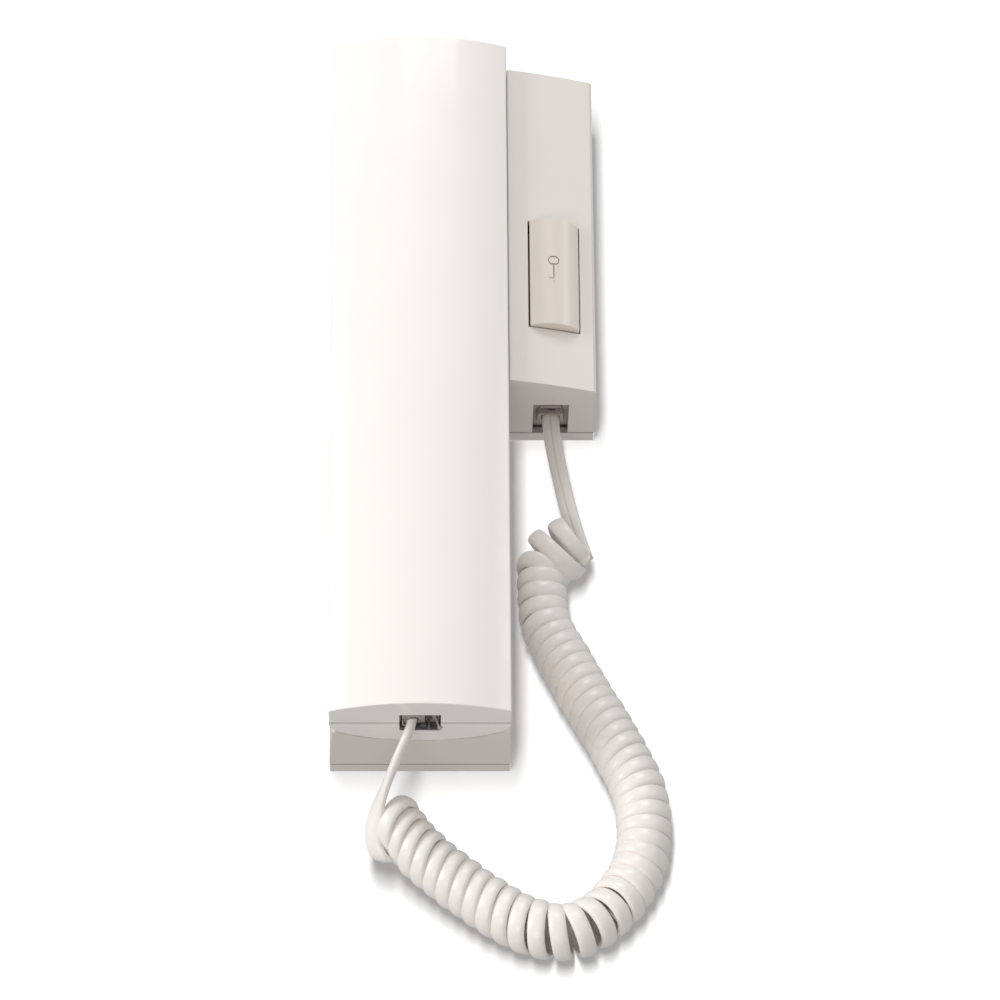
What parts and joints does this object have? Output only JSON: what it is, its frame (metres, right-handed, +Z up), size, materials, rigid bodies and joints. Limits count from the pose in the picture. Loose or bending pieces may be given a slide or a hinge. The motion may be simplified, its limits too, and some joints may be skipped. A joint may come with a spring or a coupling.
{
  "type": "wall handset telephone",
  "caption": "Slim wall handset on a half-height base with one tall door-release button, and a curly flat cord that plugs into a jack in the bottom of each.",
  "frame": {"origin": "on the wall, midway between the two wall screws, behind the handset's centreline", "axes": "+Z up, front faces -Y, +X to the right seen from the front"},
  "size_m": [0.1005, 0.0515, 0.2826],
  "materials": {
    "handset_abs": "gloss, moulded off-white",
    "base_abs": "satin gloss, moulded warm white",
    "button_abs": "satin, moulded warm white",
    "clear_plastic": "clear polycarbonate",
    "cord_vinyl": "satin vinyl",
    "jack_plastic": "grey-white moulding",
    "board": "green solder mask",
    "dark_plastic": "black moulding",
    "green_plastic": "green moulding",
    "steel": "zinc-plated",
    "aluminium": "drawn can",
    "rubber": "soft moulded"
  },
  "bodies": {
    "base": {"back_plate": "base_abs", "base_cover": "base_abs", "cover_screws": "steel", "main_board": "board", "board_screws": "steel", "terminal_block": "green_plastic", "terminal_screws": "steel", "capacitors": "aluminium", "speech_chip": "dark_plastic", "sounder": "dark_plastic", "door_switch": "dark_plastic", "hook_switch": "dark_plastic", "door_button_spring": "steel", "hook_lever_pin": "steel", "hook_spring": "steel", "base_jack": "jack_plastic", "plug_base": "clear_plastic", "cord_tail_base": "cord_vinyl", "cord_coil": "cord_vinyl", "cord_tail_handset": "cord_vinyl"},
    "handset": {"handset_front_shell": "handset_abs", "handset_back_shell": "handset_abs", "handset_screws": "steel", "receiver_capsule": "dark_plastic", "receiver_gasket": "rubber", "microphone": "aluminium", "microphone_boot": "rubber", "handset_board": "board", "handset_jack": "jack_plastic", "plug_handset": "clear_plastic"},
    "hook_lever": {"hook_lever": "base_abs"},
    "door_button": {"door_button": "button_abs"}
  },
  "joints": [
    {"name": "handset_lift", "type": "slide", "parent": "base", "child": "handset", "axis": [0, -1, 0], "range_m": [0, 0.07], "deforming": ["cord_tail_handset"]},
    {"name": "hook_lever_pivot", "type": "hinge", "parent": "base", "child": "hook_lever", "pos_m": [0, -0.0155, 0.008], "axis": [1, 0, 0], "range_deg": [0, 8], "deforming": ["hook_spring"]},
    {"name": "door_press", "type": "slide", "parent": "base", "child": "door_button", "axis": [0, 1, 0], "range_m": [0, 0.0018], "stiffness_N_per_m": 900, "springref_m": -0.001, "deforming": ["door_button_spring"]}
  ],
  "couplings": [
    {"joint": "hook_lever_pivot", "follows": "handset_lift", "rad_per_m": 1.99}
  ]
}
